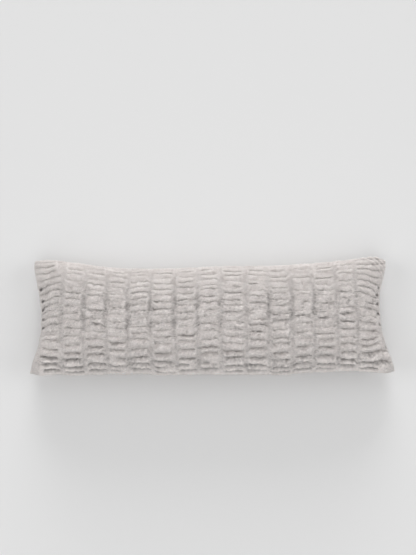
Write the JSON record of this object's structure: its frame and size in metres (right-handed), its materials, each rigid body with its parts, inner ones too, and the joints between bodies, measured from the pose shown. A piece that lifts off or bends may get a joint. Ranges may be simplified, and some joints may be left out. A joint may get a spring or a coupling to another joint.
{
  "type": "body pillow",
  "caption": "Long filled body pillow whose face is gathered into columns of short rolls, with a crowned front, drawn-in sides, drooping corners and a flat back to lie on.",
  "frame": {"origin": "middle of the bounding box, on the surface that the pillow lies on", "axes": "+X along the pillow to the picture's right, +Y from its lower long side to its upper one, +Z out of its face"},
  "size_m": [1.3054, 0.4356, 0.1722],
  "materials": {
    "fur": "soft short pile, pale warm grey, matt with a light sheen at the edges"
  },
  "bodies": {
    "root": {"pillow": "fur"}
  },
  "joints": []
}
